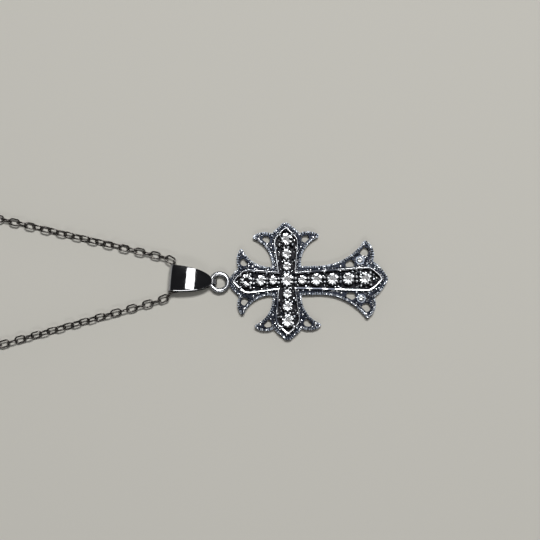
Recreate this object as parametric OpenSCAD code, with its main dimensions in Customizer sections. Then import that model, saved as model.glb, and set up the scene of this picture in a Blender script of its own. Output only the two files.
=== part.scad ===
// Cross pendant set with clear stones, on a folded bail and a whole cable chain, laid flat.
// Origin: middle of the cross's flat back. +Y runs to the bail, +X to the viewer's right, +Z up.

/* [Cross] */
// Width of a straight arm, border included
arm_w = 6.9; // [6.6:0.1:7.2]
// Centre to the tip of the three short arms
short_reach = 14.1; // [13.8:0.1:15]
// Centre to the tip of the foot
foot_reach = 24.1; // [23:0.1:27]
// Thickness of the cast plate
plate_t = 1.1; // [1:0.05:1.3]
// Radius of the blunt point that ends each arm
tip_r = 1.4; // [1.2:0.1:1.6]
// Radius of the two sides that run into that point
lobe_r = 9; // [8:0.5:11]

/* [Flares] */
// Width across the flares of a short arm, to where their two sides would meet
flare_span = 16.6; // [15.8:0.1:17.2]
// How far those points of a short arm lie behind the arm's tip
flare_back = 3.5; // [3.3:0.1:3.7]
// Radius of the hollow side of a short arm
sweep_r = 7; // [6.6:0.1:7.6]
// How far the notches of a short arm lie behind the arm's tip
notch_back = 2.7; // [2.6:0.05:2.9]
// Distance between the two notches of a short arm
notch_w = 6.6; // [6.2:0.1:7]
// Radius of the outer edge of a short arm's flare
fan_r = 4.4; // [4.1:0.1:4.8]
// Width across the flares of the foot, to where their two sides would meet
foot_flare_span = 18.95; // [18.25:0.05:19.6]
// How far those points of the foot lie behind its tip
foot_flare_back = 5.25; // [5:0.05:5.5]
// Radius of the hollow side of the foot
foot_sweep_r = 13.5; // [12.8:0.1:14.5]
// How far the notches of the foot lie behind its tip
foot_notch_back = 3.4; // [3.2:0.05:3.6]
// Distance between the two notches of the foot
foot_notch_w = 8.6; // [8.2:0.1:9]
// Radius of the outer edge of the foot's flare
foot_fan_r = 4.1; // [3.9:0.1:4.5]
// Radius that rounds every flare tip
flare_tip_r = 0.45; // [0.45:0.05:0.6]
// Border left round the pierced gaps
pierce_band = 0.8; // [0.7:0.05:0.9]
// Diameter of the bead at each flare tip
flare_bead_d = 0.85; // [0.7:0.05:1]

/* [Rim and rail] */
// Width of the rim along the edge of the plate
rim_w = 0.45; // [0.35:0.05:0.55]
// Height of the rim over the plate
rim_h = 0.2; // [0.1:0.05:0.3]
// Border between the plate's edge and the rail, on a straight arm
band_w = 1.55; // [1.45:0.05:1.65]
// Width of the polished rail round the bed of stones
rail_w = 0.42; // [0.34:0.02:0.5]
// Height of the rail over the plate
rail_h = 0.6; // [0.45:0.05:0.7]
// Radius of the round end of the bed, at the rail's outer edge
bed_r = 2.88; // [2.75:0.01:3]
// From the middle of that round end to the bed's point
bed_point = 3.85; // [3.7:0.05:4]
// How far the bed's point lies behind the arm's tip
bed_back = 1.3; // [1.15:0.05:1.5]
// Depth of the bed below the plate's top
bed_depth = 0.35; // [0.2:0.05:0.45]

/* [Stones] */
// Diameter of the middle stone
centre_stone_d = 3.3; // [3.1:0.1:3.5]
// Diameter of the stone next to it on each arm
near_stone_d = 2.2; // [2:0.1:2.4]
// Diameter of the second stone of a short arm
mid_stone_d = 2.6; // [2.4:0.1:2.8]
// Diameter of the stone at the end of each arm
end_stone_d = 3.2; // [3:0.1:3.4]
// Diameter of the three stones along the foot
foot_stone_d = 2.95; // [2.75:0.05:3.1]
// How far the end stone of a short arm lies behind the arm's tip
end_stone_back = 4.35; // [4.2:0.05:4.5]
// How far the end stone of the foot lies behind its tip
foot_end_stone_back = 5.45; // [5.2:0.05:5.6]
// Diameter of the small stone in each flare of the foot
flare_stone_d = 1.4; // [1.2:0.1:1.5]
// Height of the stones' widest line over the plate
girdle_h = 0.65; // [0.6:0.05:0.8]
// Play between a stone and its seat
stone_play = 0.07; // [0.06:0.01:0.1]
// Depth of a seat's top below the stones' widest line
seat_drop = 0.4; // [0.3:0.05:0.5]
// Height of a flare stone's widest line over the plate
flare_girdle_h = 0.25; // [0.2:0.05:0.35]
// Wall of the cup round a flare stone
cup_wall = 0.25; // [0.2:0.05:0.3]
// Diameter of a prong
prong_d = 0.5; // [0.4:0.05:0.55]
// Height of a prong's round head over the stones' widest line
prong_h = 0.12; // [0.05:0.01:0.2]

/* [Eye and bail] */
// Outer diameter of the ring cast on the top arm
eye_d = 5.2; // [5:0.05:5.4]
// Thickness of that ring
eye_wire_d = 1.15; // [1.05:0.05:1.2]
// How far the ring overlaps the arm's tip
eye_lap = 0.65; // [0.6:0.05:0.7]
// Thickness of the bail's band
bail_t = 0.4; // [0.3:0.05:0.45]
// Width of the bail at its fold
bail_w = 6.25; // [6:0.05:6.6]
// Middle of the ring to the bail's outer face at the fold
bail_reach = 12.2; // [11.8:0.1:13]
// Outer radius of the fold
fold_r = 1.65; // [1.6:0.05:1.9]
// Roundness of the bail's front outline: 2 is an ellipse, more is squarer
bail_round = 2.2; // [2:0.1:2.6]
// Width of the bail's tongue in the ring
tongue_w = 1.2; // [1:0.05:1.4]
// Play between the bail and the ring
bail_play = 0.15; // [0.12:0.01:0.2]
// How far the tongue's round end is drawn towards the ring's middle
tongue_draw = 0.28; // [0.2:0.02:0.35]
// Rise of the bail's front face over a straight line
bail_bulge = 0.4; // [0.2:0.05:0.5]
// Angle that the bail leans to the viewer's right
bail_swing = 5.6; // [0:0.2:8]

/* [Chain] */
// Length of the whole necklace, clasp included, to the nearest two links
necklace_len = 440; // [400:10:460]
// Distance from one link to the next
link_pitch = 1.95; // [1.9:0.01:2]
// Diameter of the link's wire
link_wire_d = 0.36; // [0.32:0.01:0.38]
// Outer width of a link
link_w = 1.9; // [1.84:0.02:1.96]
// Play between two links that pull on each other
link_play = 0.15; // [0.12:0.01:0.18]
// Angle between each strand and the pendant's axis
strand_angle = 14.5; // [12:0.5:18]
// Radii of the two arcs of the chain's turn in the bail, on the viewer's right and left
turn_r_right = 4.3; // [4.2:0.05:4.5]
turn_r_left = 6.3; // [6.1:0.05:6.5]
// Where the two arcs meet: to the viewer's right of the fold's middle, and below the inside of the fold
turn_side = 0.88; // [0.84:0.02:0.92]
turn_gap = 1.25; // [1.2:0.02:1.3]
// Length that the chain has slipped through the bail, towards the viewer's left strand
chain_slip = 0.975; // [0.8:0.025:1.1]
// Largest lean of the links, halfway along each wave
lean_max = 45; // [0:5:45]
// Length of one wave of lean along a strand
lean_wave = 45; // [40:5:60]

/* [Clasp] */
// Outer width of the two end rings
ring_w = 2.4; // [2.3:0.05:2.6]
// Outer length of the two end rings
ring_l = 3.6; // [3.4:0.1:4]
// Wire diameter of the two end rings
ring_wire_d = 0.5; // [0.44:0.02:0.52]
// Diameter of the clasp's body
clasp_d = 2.2; // [2:0.1:2.4]
// Middle of the clasp's eye to the middle of its bow
clasp_len = 6.6; // [6.4:0.1:7.4]
// Outer diameter of the clasp's eye
clasp_eye_d = 2.6; // [2.5:0.1:2.8]
// Wire diameter of the clasp's eye
clasp_eye_wire_d = 0.6; // [0.5:0.02:0.62]
// Outer diameter of the clasp's bow
bow_d = 4.4; // [4.2:0.1:4.8]
// Wire diameter of the clasp's bow
bow_wire_d = 0.9; // [0.8:0.02:0.92]

/* [Hidden] */
$fn = 48;

// Turn of each arm about the cross's middle
RIGHT = 0;
TOP = 90;
LEFT = 180;
FOOT = 270;
ARMS = [RIGHT, TOP, LEFT, FOOT];
overlap = 0.01;
// Longer than any outline
far = 60;
// The hollow sides bite this far into the straight arm, so that the outlines cross at an angle
waist_bite = 0.03;
arc_step = 6;

// Heights
bed_z = plate_t - bed_depth;
rail_z = plate_t + rail_h;
girdle_z = plate_t + girdle_h;
eye_z = bail_t + bail_play + eye_wire_d / 2;

// Outline of an arm. It lies along +X here, and foot is true for the long one.
function reach(foot) = foot ? foot_reach : short_reach;
function flare_tip(foot) = foot
    ? [foot_reach - foot_flare_back, foot_flare_span / 2]
    : [short_reach - flare_back, flare_span / 2];
function notch(foot) = foot
    ? [foot_reach - foot_notch_back, foot_notch_w / 2]
    : [short_reach - notch_back, notch_w / 2];
function side_r(foot) = foot ? foot_sweep_r : sweep_r;
function edge_r(foot) = foot ? foot_fan_r : fan_r;
// Middle of a circle of radius r through p and q, to the left of the way from p to q
function circle_through(p, q, r) =
    let (way = q - p, half = norm(way) / 2, side = [-way.y, way.x] / norm(way))
    (p + q) / 2 + side * sqrt(r * r - half * half);
function sweep_c(foot) =
    let (tip = flare_tip(foot), r = side_r(foot), v = arm_w / 2 - waist_bite + r)
    [tip.x - sqrt(r * r - pow(v - tip.y, 2)), v];
function fan_c(foot) = circle_through(notch(foot), flare_tip(foot), edge_r(foot));
function unit(way) = way / norm(way);
// The round of a flare tip touches the fan's edge from inside and the hollow side from outside
function tip_round_c(foot) =
    let (way = sweep_c(foot) - fan_c(foot), d = norm(way), r = edge_r(foot) - flare_tip_r,
         along = (d * d + r * r - pow(side_r(foot) + flare_tip_r, 2)) / (2 * d))
    fan_c(foot) + along * unit(way) + sqrt(r * r - along * along) * unit([way.y, -way.x]);
function lobe_c(foot) = circle_through([reach(foot), 0], notch(foot), lobe_r);

module both_sides() for (side = [0, 1]) mirror([0, side]) children();

module half_plane_right(x) translate([x, -far / 2]) square(far);

// What lies beyond the two points where a flare tip's round touches its sides
module beyond_tip(foot, inset) {
    middle = tip_round_c(foot);
    on_edge = middle + (flare_tip_r - inset) * unit(middle - fan_c(foot));
    on_sweep = middle + (flare_tip_r - inset) * unit(sweep_c(foot) - middle);
    side = unit(on_edge - on_sweep);
    out = 2 * flare_tip_r * [-side.y, side.x];
    lap = flare_tip_r / 8 * side;
    polygon([on_edge + lap, on_edge + lap + 3 * out, on_sweep - lap + 3 * out, on_sweep - lap]);
}

module arm_plan(foot, inset) {
    sweep = sweep_c(foot);
    fan = fan_c(foot);
    lobe = lobe_c(foot);
    rounded = inset < flare_tip_r;
    difference() {
        union() {
            translate([0, inset - arm_w / 2]) square([notch(foot).x, arm_w - 2 * inset]);
            both_sides() intersection() {
                union() {
                    translate(fan) circle(r = edge_r(foot) - inset);
                    translate([sweep.x, 0]) square([fan.x - sweep.x, fan.y]);
                }
                half_plane_right(sweep.x);
            }
        }
        both_sides() translate(sweep) circle(r = side_r(foot) + inset);
        if (rounded) both_sides() beyond_tip(foot, inset);
    }
    if (rounded) both_sides() translate(tip_round_c(foot)) circle(r = flare_tip_r - inset);
    intersection() {
        translate(lobe) circle(r = lobe_r - inset);
        translate([lobe.x, -lobe.y]) circle(r = lobe_r - inset);
        half_plane_right(notch(foot).x - 1);
    }
    translate([reach(foot) - tip_r, 0]) circle(r = tip_r - inset);
}

module cross_plan(inset) for (arm = ARMS) rotate(arm) arm_plan(arm == FOOT, inset);

// Outline of the bed of stones: a tapered strip, its round end and the point beyond
function bed_round(foot) = reach(foot) - bed_back - bed_point;
// The point's sides leave the round end at this turn, with this radius
bed_shoulder = 40;
bed_side_r = 2 * bed_r;

module bed_arm(foot, inset) {
    round_u = bed_round(foot);
    start = arm_w / 2 - band_w - inset;
    end = bed_r - inset;
    shoulder = [round_u, 0] + bed_r * [cos(bed_shoulder), sin(bed_shoulder)];
    side = circle_through([round_u + bed_point, 0], shoulder, bed_side_r);
    polygon([[0, -start], [round_u, -end], [round_u, end], [0, start]]);
    translate([round_u, 0]) circle(r = end);
    intersection() {
        translate(side) circle(r = bed_side_r - inset);
        translate([side.x, -side.y]) circle(r = bed_side_r - inset);
        half_plane_right(round_u + 1);
    }
}

module bed_plan(inset) for (arm = ARMS) rotate(arm) bed_arm(arm == FOOT, inset);

// Pierced gaps: what the fan leaves between its border and the bed, rounded by a disc
module flare_gap(foot, in, r) both_sides() difference() {
    intersection() {
        translate(fan_c(foot)) circle(r = edge_r(foot) - pierce_band);
        translate(flare_tip(foot) - in) circle(r = r);
    }
    translate(sweep_c(foot)) circle(r = side_r(foot) + pierce_band);
    bed_arm(foot, -tip_gap_band);
}

// The foot's second gap, between its rail and its hollow side
module rail_side_gap() both_sides() difference() {
    translate([foot_reach - rail_gap_back, rail_gap_v]) circle(r = rail_gap_r);
    translate(sweep_c(true)) circle(r = foot_sweep_r + pierce_band);
    bed_arm(true, -rail_gap_band);
}

// Gaps and beads at the flare tips: how far in from the point where the sides would meet
tip_gap_in = [0.5, 3.55];
tip_gap_r = 0.97;
foot_tip_gap_in = [0.15, 2.75];
foot_tip_gap_r = 1.1;
bead_in = [0.3, 1.75];
foot_bead_in = [0.25, 1.15];
// The foot's second gap: behind the foot's tip, beside the arm's middle line
rail_gap_back = 8.9;
rail_gap_v = 3.8;
rail_gap_r = 1.1;
// Metal left between the rail and the gaps
tip_gap_band = 0.85;
rail_gap_band = 0.35;
// Small stone of the foot's flare
flare_stone_back = 6.5;
flare_stone_v = 4.6;

// Stones. Each row is spread with equal gaps from the middle stone to the arm's end stone.
function row_d(foot) = foot
    ? [near_stone_d, foot_stone_d, foot_stone_d, foot_stone_d, end_stone_d]
    : [near_stone_d, mid_stone_d, end_stone_d];
function end_u(foot) = reach(foot) - (foot ? foot_end_stone_back : end_stone_back);
function total(list, count) = count == 0 ? 0 : list[count - 1] + total(list, count - 1);
function row_gap(foot) =
    let (d = row_d(foot), n = len(d))
    (end_u(foot) + d[n - 1] / 2 - centre_stone_d / 2 - total(d, n)) / n;
function stone_u(foot, i) =
    let (d = row_d(foot))
    centre_stone_d / 2 + total(d, i) + (i + 1) * row_gap(foot) + d[i] / 2;

// Proportions of a round brilliant, as shares of its diameter
CROWN = 0.14;
PAVILION = 0.43;
TABLE = 0.29;
STAR = 0.39;
LOWER = 0.11;
GIRDLE = 0.015;
main_slope = PAVILION / 0.5;

// Round brilliant of diameter d: table, 8 stars, 8 kites, 16 upper and 16 lower facets, 8 mains
module brilliant(d) {
    kite_slope = (CROWN - GIRDLE) / (0.5 - TABLE);
    star_z = CROWN - (STAR * cos(22.5) - TABLE) * kite_slope;
    lower_z = -PAVILION + LOWER * cos(22.5) * main_slope;
    function ring(n, r, z, turn) =
        [for (k = [0 : n - 1]) let (a = 360 * k / n + turn) [r * cos(a), r * sin(a), z]];
    points = concat(
        ring(8, TABLE, CROWN, 0),
        ring(8, STAR, star_z, 22.5),
        ring(16, 0.5, GIRDLE, 0),
        ring(16, 0.5, -GIRDLE, 0),
        ring(8, LOWER, lower_z - GIRDLE, 22.5),
        [[0, 0, -PAVILION - GIRDLE]]);
    top = 0;
    star = 8;
    upper = 16;
    under = 32;
    low = 48;
    culet = 56;
    facets = concat(
        [[for (k = [7 : -1 : 0]) top + k]],
        [for (k = [0 : 7]) let (m = (k + 1) % 8) [top + k, top + m, star + k]],
        [for (k = [0 : 7]) let (j = (k + 7) % 8) [star + j, top + k, star + k]],
        [for (k = [0 : 7]) let (j = (k + 7) % 8) [upper + 2 * k, star + j, star + k]],
        [for (k = [0 : 7]) [upper + 2 * k, star + k, upper + 2 * k + 1]],
        [for (k = [0 : 7]) let (m = (2 * k + 2) % 16) [upper + 2 * k + 1, star + k, upper + m]],
        [for (k = [0 : 15]) let (m = (k + 1) % 16) [upper + k, upper + m, under + m]],
        [for (k = [0 : 15]) let (m = (k + 1) % 16) [upper + k, under + m, under + k]],
        [for (k = [0 : 7]) [under + 2 * k, under + 2 * k + 1, low + k]],
        [for (k = [0 : 7]) let (m = (2 * k + 2) % 16) [under + 2 * k + 1, under + m, low + k]],
        [for (k = [0 : 7]) let (j = (k + 7) % 8) [under + 2 * k, low + k, low + j]],
        [for (k = [0 : 7]) let (j = (k + 7) % 8) [culet, low + j, low + k]]);
    color("white") scale(d) polyhedron(points, facets);
}

module stone_on(arm, u, v, d) rotate(arm) translate([u, v, girdle_z]) brilliant(d);

module on_flare(side) rotate(FOOT)
    translate([foot_reach - flare_stone_back, side * flare_stone_v, 0]) children();

module flare_stone(side) on_flare(side) translate([0, 0, plate_t + flare_girdle_h]) brilliant(flare_stone_d);

module row_stone(arm, i) stone_on(arm, stone_u(arm == FOOT, i), 0, row_d(arm == FOOT)[i]);

// Seat: a collar under the stone, and the cone that the stone drops into with its play
module seat_collar(d) cylinder(r = d / 2 - stone_play, h = girdle_z - seat_drop);
module seat_cone(d, drop) {
    apex = d * (PAVILION + GIRDLE) + stone_play * norm([1, main_slope]);
    depth = apex - drop + overlap;
    translate([0, 0, -apex]) cylinder(r1 = 0, r2 = depth / main_slope, h = depth);
}

module prong(u, v) translate([u, v, 0]) {
    cylinder(d = prong_d, h = girdle_z + prong_h);
    translate([0, 0, girdle_z + prong_h]) sphere(d = prong_d);
}

// Turns of the end stone's prongs, away from the arm's direction
END_PRONGS = [48, 125];

// A pair of prongs stands between two stones, as near the row's line as their play allows
function clear_v(du, d) = sqrt(max(0, pow(d / 2 + stone_play + prong_d / 2, 2) - du * du));
module prong_pair(u1, d1, u2, d2) {
    u = (u1 + d1 / 2 + u2 - d2 / 2) / 2;
    v = max(prong_d, clear_v(u - u1, d1), clear_v(u2 - u, d2));
    both_sides() prong(u, v);
}

module row_prongs(foot) {
    d = row_d(foot);
    last = len(d) - 1;
    out = d[last] / 2 + stone_play + prong_d / 2;
    prong_pair(0, centre_stone_d, stone_u(foot, 0), d[0]);
    for (i = [1 : last]) prong_pair(stone_u(foot, i - 1), d[i - 1], stone_u(foot, i), d[i]);
    both_sides() for (turn = END_PRONGS) prong(stone_u(foot, last) + out * cos(turn), out * sin(turn));
}

module at_seats() {
    for (arm = ARMS) rotate(arm) for (i = [0 : len(row_d(arm == FOOT)) - 1]) {
        $d = row_d(arm == FOOT)[i];
        translate([stone_u(arm == FOOT, i), 0, 0]) children();
    }
    $d = centre_stone_d;
    children();
}

module at_flare_seats() for (side = [-1, 1]) on_flare(side) children();

// Ring cast on the top arm
eye_ring_r = (eye_d - eye_wire_d) / 2;
eye_y = short_reach - eye_lap + eye_d / 2;

module eye() {
    translate([0, eye_y, eye_z]) rotate_extrude() translate([eye_ring_r, 0]) circle(d = eye_wire_d);
    neck = eye_wire_d / 2 + eye_lap;
    translate([-tip_r / 2, short_reach - tip_r, 0]) cube([tip_r, tip_r - eye_lap + neck, eye_z]);
}

module plate() difference() {
    union() {
        linear_extrude(plate_t) cross_plan(0);
        linear_extrude(plate_t + rim_h) difference() {
            cross_plan(0);
            cross_plan(rim_w);
        }
    }
    translate([0, 0, bed_z]) linear_extrude(bed_depth + overlap) bed_plan(rail_w);
}

flare_seat_d = flare_stone_d + 2 * stone_play;

module cross() color("slategray") difference() {
    union() {
        plate();
        linear_extrude(rail_z) difference() {
            bed_plan(0);
            bed_plan(rail_w);
        }
        eye();
        at_seats() seat_collar($d);
        for (arm = ARMS) rotate(arm) row_prongs(arm == FOOT);
        at_flare_seats()
            cylinder(d = flare_seat_d + 2 * cup_wall, h = plate_t + flare_girdle_h);
        for (arm = ARMS) rotate(arm) both_sides()
            translate(flare_tip(arm == FOOT) - (arm == FOOT ? foot_bead_in : bead_in))
            translate([0, 0, plate_t]) sphere(d = flare_bead_d);
    }
    at_seats() translate([0, 0, girdle_z]) seat_cone($d, seat_drop);
    at_flare_seats() translate([0, 0, plate_t + flare_girdle_h]) {
        seat_cone(flare_stone_d, 0);
        translate([0, 0, -flare_girdle_h / 2]) cylinder(d = flare_seat_d, h = flare_girdle_h);
    }
    translate([0, 0, -1]) linear_extrude(plate_t + 2) {
        for (arm = [RIGHT, TOP, LEFT]) rotate(arm) flare_gap(false, tip_gap_in, tip_gap_r);
        rotate(FOOT) {
            flare_gap(true, foot_tip_gap_in, foot_tip_gap_r);
            rail_side_gap();
        }
    }
}

// Bail: the band's side profile, cut to its front outline
tongue_y = eye_ring_r - tongue_draw;
tongue_r = eye_wire_d / 2 + bail_play + bail_t;
fold_y = bail_reach - fold_r;
front_top = [tongue_y, 2 * tongue_r];
back_top = [fold_y, 2 * fold_r];
function arc(c, r, from, to) =
    let (n = ceil(abs(to - from) / arc_step))
    [for (i = [0 : n]) let (a = from + (to - from) * i / n) c + r * [cos(a), sin(a)]];
function face(t, inset) =
    back_top + (front_top - back_top) * t + [0, 4 * bail_bulge * t * (1 - t) - inset];
function bail_side(inset) = concat(
    arc([fold_y, fold_r], fold_r - inset, -90, 90),
    [for (t = [0.1 : 0.1 : 0.9]) face(t, inset)],
    arc([tongue_y, tongue_r], tongue_r - inset, 90, 270));

// The front's outline is a blunt oval that opens past the fold, and the tongue goes on from its narrow end
front_l = bail_reach - tongue_y;
tongue_join = bail_reach - front_l * pow(1 - pow(tongue_w / bail_w, bail_round), 1 / bail_round);
function bail_edge(a) =
    [bail_w / 2 * pow(cos(a), 2 / bail_round), bail_reach - front_l * pow(sin(a), 2 / bail_round)];
module bail_front() {
    right = [for (a = [0 : arc_step : 90 - arc_step]) if (bail_edge(a).x > tongue_w / 2 + 0.02) bail_edge(a)];
    left = [for (i = [1 : len(right)]) let (p = right[len(right) - i]) [-p.x, p.y]];
    polygon(concat([[bail_w / 2, bail_reach + 1]], right, [[tongue_w / 2, tongue_join], [tongue_w / 2, 0]],
        [[-tongue_w / 2, 0], [-tongue_w / 2, tongue_join]], left, [[-bail_w / 2, bail_reach + 1]]));
}

module bail() color("black") translate([0, eye_y, 0]) rotate(-bail_swing) intersection() {
    rotate([90, 0, 90]) translate([0, 0, -bail_w]) linear_extrude(2 * bail_w) difference() {
        polygon(bail_side(0));
        polygon(bail_side(bail_t));
    }
    linear_extrude(4 * fold_r) bail_front();
}

// Clasp line: places along it, from the chain's last joint on the viewer's right to the one on the left
link_l = link_pitch + 2 * link_wire_d + link_play;
bend_r = (link_w - link_wire_d) / 2;
ring_over = (ring_wire_d + link_play) / 2;
ring_run = ring_l - ring_wire_d;
clasp_eye_r = (clasp_eye_d - clasp_eye_wire_d) / 2;
bow_r = (bow_d - bow_wire_d) / 2;
first_ring_at = ring_run / 2 - ring_over;
clasp_eye_at = first_ring_at + ring_run / 2 - (ring_wire_d + clasp_eye_wire_d) / 2 - link_play + clasp_eye_r;
bow_at = clasp_eye_at + clasp_len;
last_ring_at = bow_at + bow_r - (ring_wire_d + bow_wire_d) / 2 - link_play + ring_run / 2;
clasp_span = last_ring_at + ring_run / 2 - ring_over;

// Chain: an odd number of links, so that a flat one meets each end ring
link_count = 1 + 2 * round(((necklace_len - clasp_span) / link_pitch - 1) / 2);
loop_len = link_count * link_pitch + clasp_span;
half_loop = loop_len / 2;
// Route on the viewer's right (side 1) and left (side -1): an arc in the bail, a straight strand and a large
// arc round the neck side. The strands' lines cross at lines_at, where the distances along them start.
turn_a = 90 - strand_angle;
turn_tan = tan(turn_a / 2);
turn_r_mean = (turn_r_right + turn_r_left) / 2;
function turn_r(side) = side > 0 ? turn_r_right : turn_r_left;
function turn_len(side) = turn_r(side) * turn_a * PI / 180;
function strand_from(side) = turn_tan * (turn_r_mean / sin(strand_angle) + turn_r(side));
fold_at = [0, eye_y] + (bail_reach - bail_t) * [sin(bail_swing), cos(bail_swing)];
turn_at = fold_at + [turn_side, -turn_gap - link_w / 2];
lines_at = turn_at - turn_tan * [turn_r_left - turn_r_mean, turn_r_mean / tan(strand_angle)];
turns_len = turn_len(1) + turn_len(-1);
strand_to = (loop_len - turns_len + strand_from(1) + strand_from(-1))
    / (2 + tan(strand_angle) * (PI + strand_angle * PI / 90));
neck_r = strand_to * tan(strand_angle);
neck_c = lines_at + [0, strand_to / cos(strand_angle)];

// Point on one side of the route, at the length s from the place where the bail's arcs meet
function side_route(side, s) =
    s < turn_len(side)
    ? let (r = turn_r(side), a = s / r * 180 / PI) turn_at + r * [side * sin(a), 1 - cos(a)]
    : let (way = strand_from(side) + s - turn_len(side))
    way < strand_to
    ? lines_at + way * [side * sin(strand_angle), cos(strand_angle)]
    : let (a = (way - strand_to) / neck_r * 180 / PI - strand_angle)
        neck_c + neck_r * [side * cos(a), sin(a)];
// The same from the chain's own middle, which lies off that place by the slip and the two arcs' difference
middle_off = chain_slip + (turn_r_left - turn_r_mean) * (turn_a * PI / 180 - turn_tan);
function flat_route(s) = let (way = s - middle_off) side_route(way < 0 ? -1 : 1, abs(way));

// Links lean to and fro along the strands, but not in the bail or at the clasp
function wave_share(s) = min(1, (half_loop - clasp_span / 2 - abs(s)) / (2 * link_pitch));
lean_from = turns_len / 2;
function lean(s) = abs(s) < lean_from ? 0
    : lean_max * pow(sin(180 * (abs(s) - lean_from) / lean_wave), 2) * max(0, wave_share(s));
function smooth(t) = let (c = min(1, max(0, t))) c * c * (3 - 2 * c);
function chain_z(s) =
    let (lean_least = min(lean(s - link_pitch / 2), lean(s + link_pitch / 2)),
         laid = bend_r * cos(lean_least) + link_wire_d / 2,
         lifted = bail_t + bail_play + link_w / 2,
         share = smooth((abs(s - middle_off) - bail_w / 2 - link_w / 2) / (2 * link_pitch)))
    lifted + (laid - lifted) * share;
function joint(s) = let (p = flat_route(s)) [p.x, p.y, chain_z(s)];
function link_s(i) = (i - link_count / 2) * link_pitch;

module oval(l, w, wire) {
    run = l - w;
    for (side = [-1, 1]) {
        translate([side * run / 2, 0, 0]) rotate(-90 * side) rotate_extrude(angle = 180)
            translate([(w - wire) / 2, 0]) circle(d = wire);
        translate([-run / 2, side * (w - wire) / 2, 0]) rotate([0, 90, 0]) cylinder(d = wire, h = run);
    }
}

module along(a, b) {
    way = b - a;
    translate((a + b) / 2) rotate([0, -asin(way.z / norm(way)), atan2(way.y, way.x)]) children();
}

module links(from, to) color("dimgray") for (i = [from : to])
    along(joint(link_s(i)), joint(link_s(i + 1)))
        rotate([lean(link_s(i + 0.5)) + 90 * (i % 2), 0, 0]) oval(link_l, link_w, link_wire_d);

// The clasp's line runs straight across the neck arc, from the viewer's right to left
clasp_turn = 180 / PI * chain_slip / neck_r;
clasp_off = neck_r * cos(90 * clasp_span / (PI * neck_r));
module on_clasp_line(x, z) translate([neck_c.x, neck_c.y, 0]) rotate(180 - clasp_turn)
    translate([x - clasp_span / 2, -clasp_off, z]) children();

module end_ring(x) color("dimgray") on_clasp_line(x, ring_w / 2)
    rotate([90, 0, 0]) oval(ring_l, ring_w, ring_wire_d);

module clasp() color("silver") {
    z = clasp_d / 2;
    body_from = clasp_eye_at + clasp_eye_r;
    body_to = bow_at - bow_r;
    on_clasp_line(clasp_eye_at, z) rotate_extrude() translate([clasp_eye_r, 0]) circle(d = clasp_eye_wire_d);
    on_clasp_line(bow_at, z) rotate_extrude() translate([bow_r, 0]) circle(d = bow_wire_d);
    on_clasp_line((body_from + body_to) / 2, z) rotate([0, 90, 0]) rotate_extrude() intersection() {
        flank = (pow(body_to - body_from, 2) / 4 + z * z) / (2 * z);
        translate([z - flank, 0]) circle(r = flank, $fn = 2 * $fn);
        translate([0, -clasp_len]) square(2 * clasp_len);
    }
}

middle_link = floor(link_count / 2);

cross();
bail();
links(0, middle_link - 1);  // chain_left
links(middle_link, link_count - 1);  // chain_right
clasp();
end_ring(last_ring_at);  // end_ring_left
end_ring(first_ring_at);  // end_ring_right
stone_on(TOP, 0, 0, centre_stone_d);  // stone_centre
for (i = [0 : 2]) {
    row_stone(TOP, i);
    row_stone(LEFT, i);
    row_stone(RIGHT, i);
}
for (i = [0 : 4])
    row_stone(FOOT, i);
flare_stone(-1);  // stone_flare_left
flare_stone(1);  // stone_flare_right
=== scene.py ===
"""Cross pendant on its chain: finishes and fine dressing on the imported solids, then floor, lights, camera.

Lengths are in millimetres, in the part's own frame, until new_piece turns them into metres.
"""
import math

import bpy
import numpy as np
from mathutils import Matrix, Vector


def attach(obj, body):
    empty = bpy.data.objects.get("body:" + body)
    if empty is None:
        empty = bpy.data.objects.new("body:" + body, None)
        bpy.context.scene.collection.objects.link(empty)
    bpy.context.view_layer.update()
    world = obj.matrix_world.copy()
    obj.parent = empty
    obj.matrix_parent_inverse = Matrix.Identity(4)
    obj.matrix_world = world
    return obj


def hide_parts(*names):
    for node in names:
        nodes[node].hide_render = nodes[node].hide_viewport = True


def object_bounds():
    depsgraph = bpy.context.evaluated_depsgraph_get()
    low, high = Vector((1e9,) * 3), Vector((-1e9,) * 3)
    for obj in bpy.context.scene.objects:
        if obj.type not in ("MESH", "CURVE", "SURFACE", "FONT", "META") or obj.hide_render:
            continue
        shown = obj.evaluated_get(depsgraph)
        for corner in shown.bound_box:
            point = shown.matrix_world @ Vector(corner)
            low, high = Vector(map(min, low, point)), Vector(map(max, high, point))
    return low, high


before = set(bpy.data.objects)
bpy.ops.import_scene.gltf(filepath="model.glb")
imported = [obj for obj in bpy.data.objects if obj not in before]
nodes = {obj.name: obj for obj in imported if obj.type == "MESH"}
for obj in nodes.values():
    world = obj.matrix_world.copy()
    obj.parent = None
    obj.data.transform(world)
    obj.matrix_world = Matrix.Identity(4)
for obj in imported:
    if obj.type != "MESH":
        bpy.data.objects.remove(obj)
cad_low, cad_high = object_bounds()
MM = 0.001

# Camera
PHOTO_PIXELS = 540
PIXEL = 0.24  # width on the cross of one of the photo's pixels
PHOTO_TURN = math.radians(1.2)  # slant of the cross in the photo
VIEW_CENTRE = Vector((2.84, 3.95, 0))
CAMERA_TILT = math.radians(8)
CAMERA_DISTANCE = 230
NEAREST = 10  # nothing closer to the camera than this is drawn


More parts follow.
